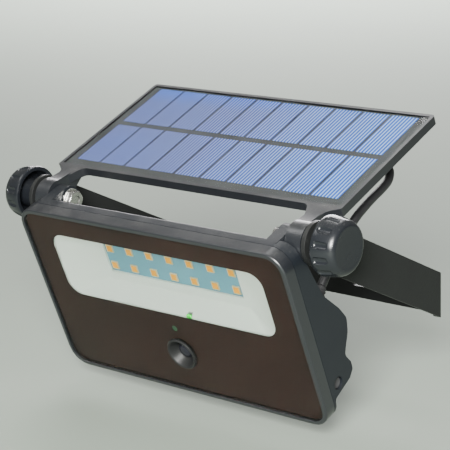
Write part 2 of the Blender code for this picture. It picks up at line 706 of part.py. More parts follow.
def panel_outline():
    """Top view of the panel with its two arms, whose outer edges curve round the knobs."""
    half = PANEL_HALF_WIDTH
    right = [
        (ARM_INNER, PANEL_FRONT, 0.005), (BARREL[0], 0.010, 0.003), (BARREL[0], 0.0, 0),
        (ARM_SIDE, 0.0, 0), (ARM_SIDE, 0.0160, 0.008), (half, PANEL_FRONT + 0.0002, 0.001),
        (half, PANEL_BACK, 0.002)]
    left = [(-x, y, radius) for x, y, radius in right[::-1]]
    return fillet(right + left, 4)


def arm_root():
    """Side view of an arm where it rises to its barrel."""
    return fillet([
        (0.0, BARREL_RADIUS - 0.0001, 0), (0.0, -0.006, 0), (0.0105, -0.0030, 0.003),
        (0.026, PANEL_UNDER + 0.0005, 0), (0.026, PANEL_TOP - 0.0006, 0),
        (0.0150, PANEL_TOP - 0.0001, 0.01), (0.0045, BARREL_RADIUS - 0.0009, 0.01)])


def make_panel_frame(hinge):
    """Shallow tray with two arms that end in barrels on the axis."""
    frame = plate([panel_outline()], (PANEL_UNDER, PANEL_TOP))
    add_part(frame, "panel_frame", BLACK_PLASTIC, hinge)
    for side in (LEFT, RIGHT):
        join(frame, cylinder(BARREL_RADIUS, across(BARREL, side), (0, 0, 0), sides=32))
        join(frame, plate([arm_root()], across((BARREL[0] + 0.0002, ARM_SIDE - 0.0002), side),
                          TURN_SIDE_VIEW))
    pocket = block((-0.1028, 0.1028), (0.0228, 0.1134), (0.0066, 0.012))
    cut(frame, pocket)
    cut(frame, cylinder(PIVOT_HOLE, (-0.12, 0.12), (0, 0, 0)))


def make_laminate(hinge):
    """Cell board in the tray and the clear sheet over it."""
    board = block((-0.1025, 0.1025), (0.0231, 0.1131), (0.0069, 0.0075))
    add_part(board, "cell_board", SILICON, hinge)
    sheet = block((-0.1025, 0.1025), (0.0231, 0.1131), (0.0078, 0.0083))
    add_part(sheet, "panel_sheet", CLEAR_GLASS, hinge)


def make_junction(hinge):
    """Cover over the panel's terminals, with its strain relief and screws."""
    x_span, y_span, z_span = COVER_BOX
    cover = block(x_span, y_span, z_span)
    add_part(cover, "junction_cover", BLACK_PLASTIC, hinge)
    wall = 0.0018
    cut(cover, block((x_span[0] + 0.006, x_span[1] - 0.006), (y_span[0] + wall, y_span[1] - wall),
                     (z_span[0] + wall, z_span[1] + 0.01)))
    middle = (y_span[0] + y_span[1]) / 2
    for side, x in ((LEFT, x_span[0] + 0.003), (RIGHT, x_span[1] - 0.003)):
        cut(cover, cylinder(0.0015, (-0.02, 0.02), (x, middle, 0), (0, 0, 0), 12))
        screw = cylinder(0.0024, (z_span[0] - 0.0018, z_span[0] - GAP), (x, middle, 0), (0, 0, 0), 16)
        add_part(screw, "cover_screw_" + SIDE_NAMES[side], ZINC, hinge)
        join(screw, cylinder(0.0012, (z_span[0] - 0.001, z_span[1]), (x, middle, 0), (0, 0, 0), 12))
    gland = cylinder(0.0040, (x_span[1] + GAP, 0.0598), (0, middle, -0.0010), sides=20,
                     end_radius=0.0031)
    add_part(gland, "panel_gland", RUBBER, hinge)


def make_lead():
    """Lead from the panel to the head, in two lengths that meet behind the axis."""
    for name, points, start, end in (
            ("lead_lower", LEAD_LOWER, (0.0, 0.003, 0.004), (0.0, 0.005, 0.004)),
            ("lead_upper", LEAD_UPPER, (0.0, 0.004, 0.005), (-0.005, 0.0, 0.0))):
        route = smooth_route([PIVOT + Vector(point) for point in points], start, end, 2)
        add_part(tube(route, LEAD_RADIUS), name, RUBBER)


def main():
    make_bracket()
    for side in (LEFT, RIGHT):
        make_clamp(side)
        make_knob(side)
    head = hinge_at_pivot("head_axis", HEAD_TILT)
    for make in (make_front_frame, make_front_glass, make_reflector, make_lights, make_sensor,
                 make_batteries, make_rear_housing, make_screws, make_switch, make_head_gland):
        make(head)
    panel = hinge_at_pivot("panel_axis", PANEL_TILT)
    for make in (make_panel_frame, make_laminate, make_junction):
        make(panel)
    make_lead()
    bpy.context.view_layer.update()


for leftover in list(bpy.data.objects):
    bpy.data.objects.remove(leftover, do_unlink=True)
PARTS = start_collection(OBJECT_NAME, False)
CUTTERS = start_collection("cutters", True)
main()
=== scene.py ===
"""Looks of the solar flood light: lamp head and solar panel on a U bracket."""
import json
import math

import bmesh
import bpy
from mathutils import Matrix, Vector


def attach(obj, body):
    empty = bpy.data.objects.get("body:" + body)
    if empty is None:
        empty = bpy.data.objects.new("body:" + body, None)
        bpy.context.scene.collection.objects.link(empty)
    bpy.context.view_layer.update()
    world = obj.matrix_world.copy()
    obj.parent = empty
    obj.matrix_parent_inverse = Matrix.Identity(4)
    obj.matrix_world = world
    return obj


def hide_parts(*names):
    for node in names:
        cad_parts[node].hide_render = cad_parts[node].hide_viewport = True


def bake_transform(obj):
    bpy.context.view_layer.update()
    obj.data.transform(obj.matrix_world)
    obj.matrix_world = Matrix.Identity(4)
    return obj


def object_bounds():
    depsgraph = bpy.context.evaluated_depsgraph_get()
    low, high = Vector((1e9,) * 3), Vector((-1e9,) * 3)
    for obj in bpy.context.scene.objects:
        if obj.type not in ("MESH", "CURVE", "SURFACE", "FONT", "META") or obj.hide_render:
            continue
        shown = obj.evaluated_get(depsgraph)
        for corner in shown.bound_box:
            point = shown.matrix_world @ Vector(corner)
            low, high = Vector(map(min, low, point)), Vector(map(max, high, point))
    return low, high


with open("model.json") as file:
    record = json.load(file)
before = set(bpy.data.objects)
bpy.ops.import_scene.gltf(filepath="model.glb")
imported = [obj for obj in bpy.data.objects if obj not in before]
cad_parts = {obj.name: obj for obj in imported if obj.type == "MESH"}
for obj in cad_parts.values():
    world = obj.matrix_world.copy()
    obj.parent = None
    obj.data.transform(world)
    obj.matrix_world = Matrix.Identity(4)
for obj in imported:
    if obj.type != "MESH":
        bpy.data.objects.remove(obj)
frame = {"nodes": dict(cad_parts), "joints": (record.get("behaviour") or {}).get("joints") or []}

CAD_BOX = [list(corner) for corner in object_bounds()]
NODES = frame["nodes"]
PIVOT = Vector(next(joint["pos_m"] for joint in frame["joints"] if joint["name"] == "panel_tilt"))

# Tilts at rest, the lamp's front plane and the panel's near edge from the axis, and the heights
# of the motion sensor and the indicator in the lamp's own frame
HEAD_TILT, PANEL_TILT = math.radians(20.9), math.radians(21.8)
HEAD_FRONT, PANEL_FRONT = -0.0258, 0.0205
SENSOR_Z, INDICATOR_Z = -0.0769, -0.0596
HEAD_PLACE = Matrix.Translation(PIVOT) @ Matrix.Rotation(HEAD_TILT, 4, "X")
PANEL_PLACE = Matrix.Translation(PIVOT) @ Matrix.Rotation(PANEL_TILT, 4, "X")
SIDES = {"left": -1, "right": 1}

# The lead's route at rest, as points from the axis; the two lengths meet beside the bracket
LEAD_DIAMETER = 0.005
LEAD_LOWER = (
    (0.0860, 0.0229, -0.0309), (0.0862, 0.0275, -0.0252), (0.0868, 0.0330, -0.0182),
    (0.0874, 0.0386, -0.0112), (0.0880, 0.0446, -0.0048),
)
LEAD_UPPER = (
    (0.0880, 0.0448, -0.0044), (0.0883, 0.0515, 0.0010), (0.0886, 0.0593, 0.0055),
    (0.0888, 0.0673, 0.0093), (0.0889, 0.0752, 0.0125), (0.0884, 0.0820, 0.0157),
    (0.0862, 0.0868, 0.0196), (0.0822, 0.0886, 0.0237), (0.0766, 0.0875, 0.0274),
    (0.0702, 0.0846, 0.0301), (0.0655, 0.0828, 0.0313), (0.0607, 0.0821, 0.0317),
)


# ---------------------------------------------------------------- working by hand

def deselect_all():
    """Nothing selected, object mode."""
    if bpy.context.object and bpy.context.object.mode != "OBJECT":
        bpy.ops.object.mode_set(mode="OBJECT")
    bpy.ops.object.select_all(action="DESELECT")


def only(piece):
    """Select one piece and make it active."""
    deselect_all()
    piece.select_set(True)
    bpy.context.view_layer.objects.active = piece


def edit(piece, mode="FACE"):
    """Open a piece in edit mode with nothing selected."""
    only(piece)
    bpy.ops.object.mode_set(mode="EDIT")
    bpy.ops.mesh.select_mode(type=mode)
    bpy.ops.mesh.select_all(action="DESELECT")


def close():
    bpy.ops.object.mode_set(mode="OBJECT")


def choose(piece, kind, test):
    """Select the faces, edges or verts of the piece being edited that pass a test."""
    form = bmesh.from_edit_mesh(piece.data)
    for item in getattr(form, kind):
        item.select_set(bool(test(item)))
    form.select_flush_mode()
    bmesh.update_edit_mesh(piece.data)


def named(name):
    """Name the active piece."""
    piece = bpy.context.object
    piece.name = name
    piece.data.name = name
    return piece


def box(name, x_span, y_span, z_span):
    """A block between three pairs of limits."""
    deselect_all()
    spans = (x_span, y_span, z_span)
    bpy.ops.mesh.primitive_cube_add(size=1.0, location=[sum(span) / 2 for span in spans])
    piece = named(name)
    piece.scale = [span[1] - span[0] for span in spans]
    bpy.ops.object.transform_apply(location=True, rotation=True, scale=True)
    return piece


def rod(name, radius, span, centre=(0.0, 0.0), along="X", sides=48):
    """A cylinder along X, Y or Z between two limits; centre gives the other two coordinates."""
    deselect_all()
    middle = sum(span) / 2
    turn, place = {
        "X": ((0, math.pi / 2, 0), (middle, *centre)),
        "Y": ((math.pi / 2, 0, 0), (centre[0], middle, centre[1])),
        "Z": ((0, 0, 0), (*centre, middle))}[along]
    bpy.ops.mesh.primitive_cylinder_add(vertices=sides, radius=radius, depth=abs(span[1] - span[0]),
                                        location=place, rotation=turn)
    piece = named(name)
    bpy.ops.object.transform_apply(location=True, rotation=True, scale=True)
    return piece


def apply_modifier(piece, kind, **settings):
    """Add a modifier, set it and apply it."""
    only(piece)
    modifier = piece.modifiers.new(kind.lower(), kind)
    for name, value in settings.items():
        setattr(modifier, name, value)
    bpy.ops.object.modifier_apply(modifier=modifier.name)


def boolean(piece, tool, operation="DIFFERENCE"):
    """Cut or join a tool, then remove the tool."""
    apply_modifier(piece, "BOOLEAN", operation=operation, solver="EXACT", object=tool)
    discard(tool)


def soften(piece, width, segments=2, angle=35.0):
    """Round every sharp edge and shade the piece smooth."""
    apply_modifier(piece, "BEVEL", width=width, segments=segments, limit_method="ANGLE",
                   angle_limit=math.radians(angle), use_clamp_overlap=True)
    smooth(piece)


def smooth(piece, angle=35.0):
    """Smooth shading, with flat faces kept flat."""
    only(piece)
    bpy.ops.object.shade_smooth_by_angle(angle=math.radians(angle))
    apply_modifier(piece, "WEIGHTED_NORMAL", keep_sharp=True, weight=60)


def join(name, pieces):
    """Make several pieces one object."""
    only(pieces[0])
    for piece in pieces[1:]:
        piece.select_set(True)
    bpy.ops.object.join()
    return named(name)


def settle(piece, place=Matrix.Identity(4)):
    """Bring a piece from its own frame into the model, with its place in its mesh."""
    piece.data.transform(place @ piece.matrix_world)
    piece.matrix_world = Matrix.Identity(4)
    return piece


def finished(piece, body, look, *nodes, slot=None):
    """Material, body and the CAD nodes that the piece stands for."""
    piece.data.materials.clear()
    piece.data.materials.append(look)
    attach(piece, body)
    if nodes:
        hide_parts(*nodes)
    return piece


def merged_copy(node, name, place=Matrix.Identity(4)):
    """A copy of a CAD node in its own frame, its triangles merged back into flat faces."""
    source = NODES[node]
    piece = source.copy()
    piece.data = source.data.copy()
    piece.name = name
    piece.data.name = name
    bpy.context.scene.collection.objects.link(piece)
    piece.data.transform(place.inverted())
    edit(piece, "VERT")
    bpy.ops.mesh.select_all(action="SELECT")
    bpy.ops.mesh.remove_doubles(threshold=0.00001)
    bpy.ops.mesh.dissolve_limited(angle_limit=math.radians(0.6))
    close()
    return piece


def turned(name, profile, sides=64):
    """A turned piece about Z: a disc whose end is pushed and resized ring by ring."""
    (first, start), (radius, height), *rings = profile
    rising = height > start
    deselect_all()
    bpy.ops.mesh.primitive_cone_add(
        vertices=sides, radius1=first if rising else radius, radius2=radius if rising else first,
        depth=abs(height - start), location=(0.0, 0.0, (start + height) / 2))
    piece = named(name)
    bpy.ops.object.transform_apply(location=True, rotation=True, scale=True)
    edit(piece)
    choose(piece, "faces", lambda face: len(face.verts) == sides
           and abs(face.calc_center_median().z - height) < 1e-6)
    for next_radius, next_height in rings:
        bpy.ops.mesh.extrude_region_move(
            TRANSFORM_OT_translate={"value": (0.0, 0.0, next_height - height)})
        ratio = next_radius / radius
        bpy.ops.transform.resize(value=(ratio, ratio, 1.0), center_override=(0.0, 0.0, next_height))
        radius, height = next_radius, next_height
    bpy.ops.mesh.select_all(action="SELECT")
    bpy.ops.mesh.remove_doubles(threshold=0.000001)
    bpy.ops.mesh.normals_make_consistent(inside=False)
    close()
    return piece


def rounded_slab(name, x_span, y_span, z_span, radius, segments):
    """A slab across Y whose four corners are round."""
    piece = box(name, x_span, y_span, z_span)
    edit(piece, "EDGE")
    choose(piece, "edges", lambda edge: abs(edge.verts[0].co.y - edge.verts[1].co.y) > 1e-6)
    bpy.ops.mesh.bevel(offset=radius, segments=segments, affect="EDGES")
    close()
    return piece


def copy_of(piece, name, place):
    """A placed copy of a piece with its own mesh."""
    twin = piece.copy()
    twin.data = piece.data.copy()
    twin.name = name
    twin.data.name = name
    bpy.context.scene.collection.objects.link(twin)
    twin.data.transform(place)
    return twin


def discard(piece):
    bpy.data.objects.remove(piece, do_unlink=True)


def ring_of(piece, count, name, turn_offset=0.0):
    """Copies of a piece around Z, as one object; the first is used up."""
    copies = [copy_of(piece, "copy", Matrix.Rotation(2 * math.pi * (index + turn_offset) / count, 4,
                                                     "Z")) for index in range(count)]
    discard(piece)
    return join(name, copies)


# ---------------------------------------------------------------- materials

def add_node(tree, kind, settings=None, **inputs):
    """A shader node; inputs take plain values or other nodes' sockets."""
    made = tree.nodes.new("ShaderNode" + kind)
    for name, value in (settings or {}).items():
        setattr(made, name, value)
    for name, value in inputs.items():
        socket = made.inputs[name.replace("_", " ")]
        if isinstance(value, bpy.types.NodeSocket):
            tree.links.new(value, socket)
        else:
            socket.default_value = value
    return made


def maths(tree, operation, first, second=0.0):
    """One Math node."""
    made = tree.nodes.new("ShaderNodeMath")
    made.operation = operation
    for socket, value in zip(made.inputs, (first, second)):
        if isinstance(value, bpy.types.NodeSocket):
            tree.links.new(value, socket)
        else:
            socket.default_value = value
    return made.outputs[0]


def ramp(tree, value, low, high, to_low, to_high):
    """A value stretched from one range to another, held at its ends."""
    made = tree.nodes.new("ShaderNodeMapRange")
    for name, number in (("From Min", low), ("From Max", high), ("To Min", to_low),
                         ("To Max", to_high)):
        made.inputs[name].default_value = number
    tree.links.new(value, made.inputs["Value"])
    return made.outputs["Result"]


def blend_colours(tree, factor, first, second):
    """A colour mixed between two colours."""
    made = tree.nodes.new("ShaderNodeMix")
    made.data_type = "RGBA"
    for socket, value in zip((made.inputs[0], made.inputs[6], made.inputs[7]),
                             (factor, first, second)):
        if isinstance(value, bpy.types.NodeSocket):
            tree.links.new(value, socket)
        elif isinstance(value, tuple):
            socket.default_value = (*value, 1.0)
        else:
            socket.default_value = value
    return made.outputs[2]


def new_group(name, inputs, outputs):
    """A shader node group with named sockets."""
    group = bpy.data.node_groups.new(name, "ShaderNodeTree")
    for label, default in inputs:
        socket = group.interface.new_socket(name=label, in_out="INPUT",
                                            socket_type="NodeSocketFloat")
        socket.default_value = default
    for label in outputs:
        group.interface.new_socket(name=label, in_out="OUTPUT", socket_type="NodeSocketFloat")
    return group, group.nodes.new("NodeGroupInput"), group.nodes.new("NodeGroupOutput")


def make_grain_group():
    """Spark-eroded mould texture: a fine height and a slowly drifting gloss."""
    group, given, result = new_group(
        "mould_grain", [("Scale", 1500.0), ("Smooth", 0.3), ("Rough", 0.5)], ["Height", "Roughness"])
    where = add_node(group, "TexCoord").outputs["Object"]
    fine = add_node(group, "TexNoise", Vector=where, Scale=given.outputs["Scale"], Detail=3.0)
    broad = add_node(group, "TexNoise", Vector=where, Scale=38.0, Detail=4.0, Roughness=0.6)
    cells = add_node(group, "TexVoronoi", Vector=where, Scale=given.outputs["Scale"])
    height = maths(group, "MULTIPLY", fine.outputs["Fac"], cells.outputs["Distance"])
    span = maths(group, "SUBTRACT", given.outputs["Rough"], given.outputs["Smooth"])
    drift = maths(group, "MULTIPLY", ramp(group, broad.outputs["Fac"], 0.3, 0.7, 0.0, 1.0), span)
    group.links.new(height, result.inputs["Height"])
    group.links.new(maths(group, "ADD", drift, given.outputs["Smooth"]),
                    result.inputs["Roughness"])
    return group


def make_dust_group():
    """Dust that settles on faces that look up, in soft patches and specks."""
    group, given, result = new_group("settled_dust", [("Amount", 0.3)], ["Mask"])
    coordinates = add_node(group, "TexCoord")
    facing = add_node(group, "SeparateXYZ", Vector=coordinates.outputs["Normal"]).outputs["Z"]
    upward = ramp(group, facing, 0.35, 0.95, 0.0, 1.0)
    patches = add_node(group, "TexNoise", Vector=coordinates.outputs["Object"], Scale=60.0,
                       Detail=6.0, Roughness=0.65)
    specks = add_node(group, "TexNoise", Vector=coordinates.outputs["Object"], Scale=900.0,
                      Detail=2.0)
    soft = ramp(group, patches.outputs["Fac"], 0.42, 0.75, 0.1, 1.0)
    sharp = ramp(group, specks.outputs["Fac"], 0.60, 0.72, 0.25, 1.0)
    both = maths(group, "MULTIPLY", soft, sharp)
    mask = maths(group, "MULTIPLY", maths(group, "MULTIPLY", both, upward),
                 given.outputs["Amount"])
    group.links.new(mask, result.inputs["Mask"])
    return group


def place_group(tree, group, **inputs):
    """A group node in a material."""
    made = tree.nodes.new("ShaderNodeGroup")
    made.node_tree = group
    for name, value in inputs.items():
        made.inputs[name].default_value = value
    return made


def new_material(name, **plain):
    """A material with its Principled shader; plain values go on the shader's own sockets."""
    material = bpy.data.materials.new(name)
    material.use_nodes = True
    tree = material.node_tree
    shader = tree.nodes["Principled BSDF"]
    for label, value in plain.items():
        socket = shader.inputs[label.replace("_", " ")]
        socket.default_value = (*value, 1.0) if isinstance(value, tuple) else value
    return material, tree, shader


def add_bump(tree, shader, height, distance):
    bump = add_node(tree, "Bump", Height=height, Distance=distance, Strength=1.0)
    tree.links.new(bump.outputs["Normal"], shader.inputs["Normal"])


def black_plastic(name, base, gloss, grain_scale, grain_depth, dust, specular=0.45):
    """Moulded black plastic with grain, drifting gloss and a little dust."""
    material, tree, shader = new_material(name, Specular_IOR_Level=specular)
    grain = place_group(tree, GRAIN, Scale=grain_scale, Smooth=gloss[0], Rough=gloss[1])
    settled = place_group(tree, DUST, Amount=dust)
    colour = blend_colours(tree, settled.outputs["Mask"], base, (0.33, 0.32, 0.30))
    tree.links.new(colour, shader.inputs["Base Color"])
    tree.links.new(grain.outputs["Roughness"], shader.inputs["Roughness"])
    add_bump(tree, shader, grain.outputs["Height"], grain_depth)
    return material


def bright_zinc():
    """Zinc-plated steel with faint drawn marks."""
    material, tree, shader = new_material("bright_zinc", Metallic=1.0)
    where = add_node(tree, "TexCoord").outputs["Object"]
    patches = add_node(tree, "TexNoise", Vector=where, Scale=320.0, Detail=3.0)
    colour = blend_colours(tree, patches.outputs["Fac"], (0.72, 0.70, 0.66), (0.56, 0.56, 0.55))
    tree.links.new(colour, shader.inputs["Base Color"])
    tree.links.new(ramp(tree, patches.outputs["Fac"], 0.3, 0.7, 0.18, 0.36),
                   shader.inputs["Roughness"])
    marks = add_node(tree, "TexNoise", Vector=where, Scale=2200.0, Detail=2.0)
    add_bump(tree, shader, marks.outputs["Fac"], 0.00003)
    return material


def rubber(name, base, roughness):
    """Soft black rubber with a fine bloom."""
    material, tree, shader = new_material(name)
    where = add_node(tree, "TexCoord").outputs["Object"]
    bloom = add_node(tree, "TexNoise", Vector=where, Scale=240.0, Detail=5.0)
    lighter = tuple(value * 1.8 + 0.004 for value in base)
    tree.links.new(blend_colours(tree, bloom.outputs["Fac"], base, lighter),
                   shader.inputs["Base Color"])
    tree.links.new(ramp(tree, bloom.outputs["Fac"], 0.3, 0.7, roughness - 0.08, roughness + 0.1),
                   shader.inputs["Roughness"])
    add_bump(tree, shader, bloom.outputs["Fac"], 0.00004)
    return material


def painted_sheet(name, base, roughness, scale=500.0, depth=0.00003, second=None, specular=0.5):
    """An even coat whose colour and gloss drift a little."""
    spread = 0.08
    material, tree, shader = new_material(name, Specular_IOR_Level=specular)
    where = add_node(tree, "TexCoord").outputs["Object"]
    drift = add_node(tree, "TexNoise", Vector=where, Scale=45.0, Detail=4.0)
    other = second or tuple(value * 0.9 for value in base)
    tree.links.new(blend_colours(tree, drift.outputs["Fac"], base, other),
                   shader.inputs["Base Color"])
    tree.links.new(ramp(tree, drift.outputs["Fac"], 0.3, 0.7, roughness - spread / 2,
                        roughness + spread / 2), shader.inputs["Roughness"])
    fine = add_node(tree, "TexNoise", Vector=where, Scale=scale, Detail=3.0)
    add_bump(tree, shader, fine.outputs["Fac"], depth)
    return material


def clear_plate(name, tint, roughness, index):
    """Clear glass or sheet with a trace of smearing."""
    material, tree, shader = new_material(name, Base_Color=tint, Transmission_Weight=1.0, IOR=index)
    where = add_node(tree, "TexCoord").outputs["Object"]
    smear = add_node(tree, "TexNoise", Vector=where, Scale=30.0, Detail=5.0)
    tree.links.new(ramp(tree, smear.outputs["Fac"], 0.45, 0.75, roughness, roughness + 0.05),
                   shader.inputs["Roughness"])
    return material


def glowing(name, colour, strength):
    """A lit indicator."""
    material, tree, shader = new_material(name, Base_Color=colour, Roughness=0.3,
                                          Emission_Strength=strength)
    where = add_node(tree, "TexCoord").outputs["Object"]
    cloud = add_node(tree, "TexNoise", Vector=where, Scale=900.0)
    dimmer = tuple(value * 0.7 for value in colour)
    tree.links.new(blend_colours(tree, cloud.outputs["Fac"], colour, dimmer),
                   shader.inputs["Emission Color"])
    return material


def silicon_cells():
    """Blue crystalline cells: grains, a random drift in tone, a painted sky reflection that turns
    the tint from violet to bright blue towards the right and the back, and fine pale contact lines
    across UV u with a painted glint that makes them brighter towards the right.
    """
    material, tree, shader = new_material("silicon_cells", Specular_IOR_Level=0.15)
    coordinates = add_node(tree, "TexCoord")
    across = add_node(tree, "SeparateXYZ", Vector=coordinates.outputs["UV"])
    place = add_node(tree, "SeparateXYZ", Vector=coordinates.outputs["Object"])
    crystals = add_node(tree, "TexVoronoi", Vector=coordinates.outputs["Object"], Scale=700.0)
    crystal = add_node(tree, "SeparateColor", Color=crystals.outputs["Color"]).outputs["Red"]
    clouds = add_node(tree, "TexNoise", Vector=coordinates.outputs["Object"], Scale=22.0,
                      Detail=2.0)
    violet = blend_colours(tree, crystal, (0.070, 0.110, 0.37), (0.090, 0.135, 0.42))
    painted_sky_reflection = blend_colours(tree, crystal, (0.002, 0.12, 0.66), (0.005, 0.15, 0.74))
    # Painted reflection: the tint runs from violet on the left to bright sky blue on the right, and
    # is brighter towards the back edge; the cloud noise adds real random tone
    drift = ramp(tree, place.outputs["X"], -0.02, 0.085, 0.0, 1.0)
    painted_sheen_back = ramp(tree, place.outputs["Y"], -0.030, -0.016, 0.0, 0.9)
    cloudy = ramp(tree, clouds.outputs["Fac"], 0.3, 0.7, -0.12, 0.12)
    sheen_and_tone = maths(tree, "ADD", maths(tree, "MAXIMUM", drift, painted_sheen_back), cloudy)
    silicon = blend_colours(tree, ramp(tree, sheen_and_tone, 0.0, 1.0, 0.0, 1.0), violet, painted_sky_reflection)
    lines_per_cell = 8.0
    wave = maths(tree, "FRACT", maths(tree, "MULTIPLY", across.outputs["X"], lines_per_cell))
    offset = maths(tree, "ABSOLUTE", maths(tree, "SUBTRACT", wave, 0.5))
    line = ramp(tree, offset, 0.15, 0.25, 1.0, 0.0)
    # Painted glint: the contact lines are drawn stronger and paler towards the right, where they
    # catch the light
    strength = maths(tree, "MULTIPLY", line, ramp(tree, place.outputs["X"], -0.10, 0.03, 0.55, 1.0))
    painted_glint_lines = blend_colours(tree, drift, (0.38, 0.45, 0.70), (0.50, 0.73, 0.99))
    tree.links.new(blend_colours(tree, strength, silicon, painted_glint_lines), shader.inputs["Base Color"])
    tree.links.new(ramp(tree, crystal, 0.0, 1.0, 0.28, 0.40), shader.inputs["Roughness"])
    add_bump(tree, shader, line, 0.00002)
    return material


GRAIN = make_grain_group()
DUST = make_dust_group()
HOUSING_BLACK = black_plastic("housing_black", (0.007, 0.0085, 0.011), (0.34, 0.48), 1500.0, 0.00004,
                              0.25, 0.30)
FRAME_BLACK = black_plastic("frame_black", (0.008, 0.009, 0.011), (0.28, 0.38), 1600.0, 0.00004,
                            0.25, 0.70)
PANEL_BLACK = black_plastic("panel_black", (0.008, 0.009, 0.011), (0.28, 0.40), 1500.0, 0.00004,
                            0.30, 0.70)
KNOB_BLACK = black_plastic("knob_black", (0.007, 0.008, 0.010), (0.20, 0.30), 2200.0, 0.00002, 0.12)
POWDER_COAT = black_plastic("powder_coat", (0.009, 0.0095, 0.0095), (0.42, 0.55), 900.0, 0.00006,
                            0.15, 0.22)
ZINC = bright_zinc()
RUBBER = rubber("black_rubber", (0.012, 0.012, 0.013), 0.62)
LEAD_JACKET = rubber("lead_jacket", (0.010, 0.010, 0.011), 0.42)
WHITE_TRAY = painted_sheet("white_tray", (0.87, 0.97, 0.89), 0.42, second=(0.84, 0.95, 0.87))
FILM_PRINT = painted_sheet("film_print", (0.026, 0.013, 0.010), 0.50, depth=0.0000002,
                           second=(0.018, 0.010, 0.008), specular=0.05)
BOARD_BLUE = painted_sheet("board_blue", (0.15, 0.40, 0.51), 0.45, second=(0.12, 0.36, 0.47))
BOARD_GREEN = painted_sheet("board_green", (0.03, 0.16, 0.07), 0.40)
CELL_SLEEVE = painted_sheet("cell_sleeve", (0.05, 0.16, 0.45), 0.30)
BACKING = painted_sheet("grey_backing", (0.10, 0.105, 0.10), 0.50, second=(0.08, 0.085, 0.08),
                        specular=0.15)
LED_BODY = painted_sheet("led_body", (0.80, 0.70, 0.45), 0.40)
PHOSPHOR = painted_sheet("phosphor", (0.97, 0.46, 0.018), 0.50, second=(0.95, 0.38, 0.012),
                         specular=0.2)
LENS_DARK = painted_sheet("lens_dark", (0.010, 0.010, 0.014), 0.20, scale=900.0, depth=0.00001,
                          specular=0.3)
GREEN_GLOW = glowing("green_glow", (0.02, 0.8, 0.05), 0.35)
GLASS = clear_plate("front_glass_clear", (0.98, 0.98, 0.97), 0.01, 1.14)
SHEET = clear_plate("panel_sheet_clear", (0.97, 0.98, 1.0), 0.03, 1.09)
CELLS = silicon_cells()


# ---------------------------------------------------------------- camera, light and floor

def make_camera():
    """Camera in front, to the right and a little above, with a long lens."""
    data = bpy.data.cameras.new("camera")
    data.sensor_width = 36.0
    data.lens = 132.2
    data.clip_start = 0.05
    camera = bpy.data.objects.new("camera", data)
    bpy.context.scene.collection.objects.link(camera)
    azimuth, elevation, roll = (math.radians(angle) for angle in (40.83, 14.21, -1.88))
    back = Vector((math.sin(azimuth) * math.cos(elevation),
                   -math.cos(azimuth) * math.cos(elevation), math.sin(elevation)))
    level = Vector((0, 0, 1)).cross(back).normalized()
    upright = back.cross(level)
    right = level * math.cos(roll) + upright * math.sin(roll)
    up = back.cross(right)
    camera.matrix_world = Matrix((right, up, back)).transposed().to_4x4()
    from_pivot = Vector((0.60324, -0.65311, 0.21959))
    camera.location = PIVOT + from_pivot
    bpy.context.scene.camera = camera


def area_light(name, place, aim, size, power, colour=(1.0, 1.0, 1.0)):
    """A square soft light turned towards a point."""
    data = bpy.data.lights.new(name, "AREA")
    data.size = size
    data.energy = power
    data.color = colour
    light = bpy.data.objects.new(name, data)
    bpy.context.scene.collection.objects.link(light)
    light.location = place
    light.rotation_euler = (Vector(aim) - Vector(place)).to_track_quat("-Z", "Y").to_euler()


def make_studio():
    """Pale floor and surroundings with four soft lights."""
    world = bpy.data.worlds.new("surroundings")
    world.use_nodes = True
    world.node_tree.nodes["Background"].inputs["Color"].default_value = (0.78, 0.80, 0.76, 1.0)
    world.node_tree.nodes["Background"].inputs["Strength"].default_value = 0.30
    bpy.context.scene.world = world
    deselect_all()
    below = 0.012
    bpy.ops.mesh.primitive_plane_add(size=6.0, location=(0, 0, CAD_BOX[0][2] - below))
    floor = named("floor")
    material, tree, shader = new_material("pale_floor", Roughness=0.8)
    where = add_node(tree, "TexCoord").outputs["Object"]
    mottle = add_node(tree, "TexNoise", Vector=where, Scale=4.0, Detail=5.0)
    tree.links.new(blend_colours(tree, mottle.outputs["Fac"], (0.215, 0.25, 0.21),
                                 (0.20, 0.234, 0.195)), shader.inputs["Base Color"])
    floor.data.materials.append(material)
    # name, place, aim, size, power, colour
    area_light("softbox", (-0.24, 0.42, 0.95), PIVOT, 0.40, 4.0, (1.0, 1.0, 0.99))
    area_light("front", (0.66, -1.04, 0.52), PIVOT, 0.4, 78.0, (1.0, 1.0, 0.97))
    area_light("left_box", (-0.52, -0.52, 0.90), PIVOT, 0.36, 2.4)
    area_light("background", (-1.6, 2.2, 1.0), (-1.6, 2.2, 0.0), 1.8, 200.0, (1.0, 0.98, 1.0))


# ---------------------------------------------------------------- lead

def smooth_points(points, steps=4):
    """Points on a smooth line through the given ones."""
    line = [Vector(point) + PIVOT for point in points]
    line = [line[0] * 2 - line[1], *line, line[-1] * 2 - line[-2]]
    route = []
    for before, here, after, beyond in zip(line, line[1:], line[2:], line[3:]):
        for step in range(steps):
            t = step / steps
            route.append(0.5 * (2 * here + (after - before) * t
                                + (2 * before - 5 * here + 4 * after - beyond) * t ** 2
                                + (3 * here - before - 3 * after + beyond) * t ** 3))
    return [*route, line[-2]]


